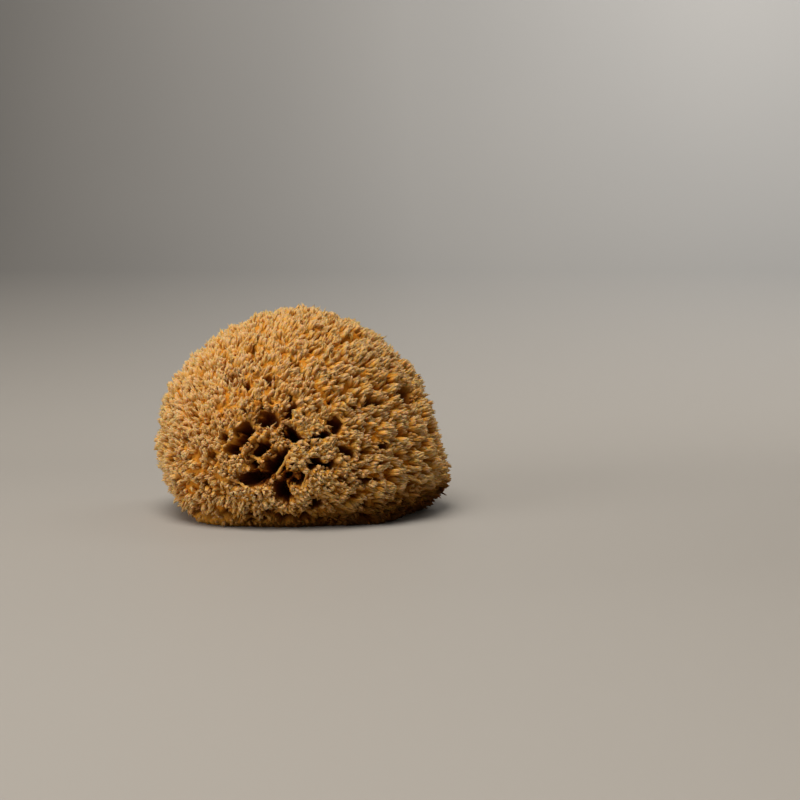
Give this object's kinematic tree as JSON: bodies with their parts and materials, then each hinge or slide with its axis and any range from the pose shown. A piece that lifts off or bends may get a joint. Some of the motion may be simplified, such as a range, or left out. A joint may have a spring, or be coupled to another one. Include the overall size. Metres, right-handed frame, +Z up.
{
  "type": "sea sponge",
  "caption": "Dried natural sea sponge, domed and tufted, with open canals crowding one side and a foot that was cut flat to stand on.",
  "frame": {"origin": "bottom centre of the sponge's box, on the cut foot, 22 mm below the growth centre that the tufts point away from", "axes": "+Z up from the cut foot, +X along the widest side, -Y towards the side with the crowd of open canals"},
  "size_m": [0.1311, 0.1177, 0.0913],
  "materials": {
    "sponge": "matt tan sponge fibre, paler at the tips of the tufts and dark brown inside the canals"
  },
  "bodies": {
    "root": {"sponge": "sponge"}
  },
  "joints": []
}
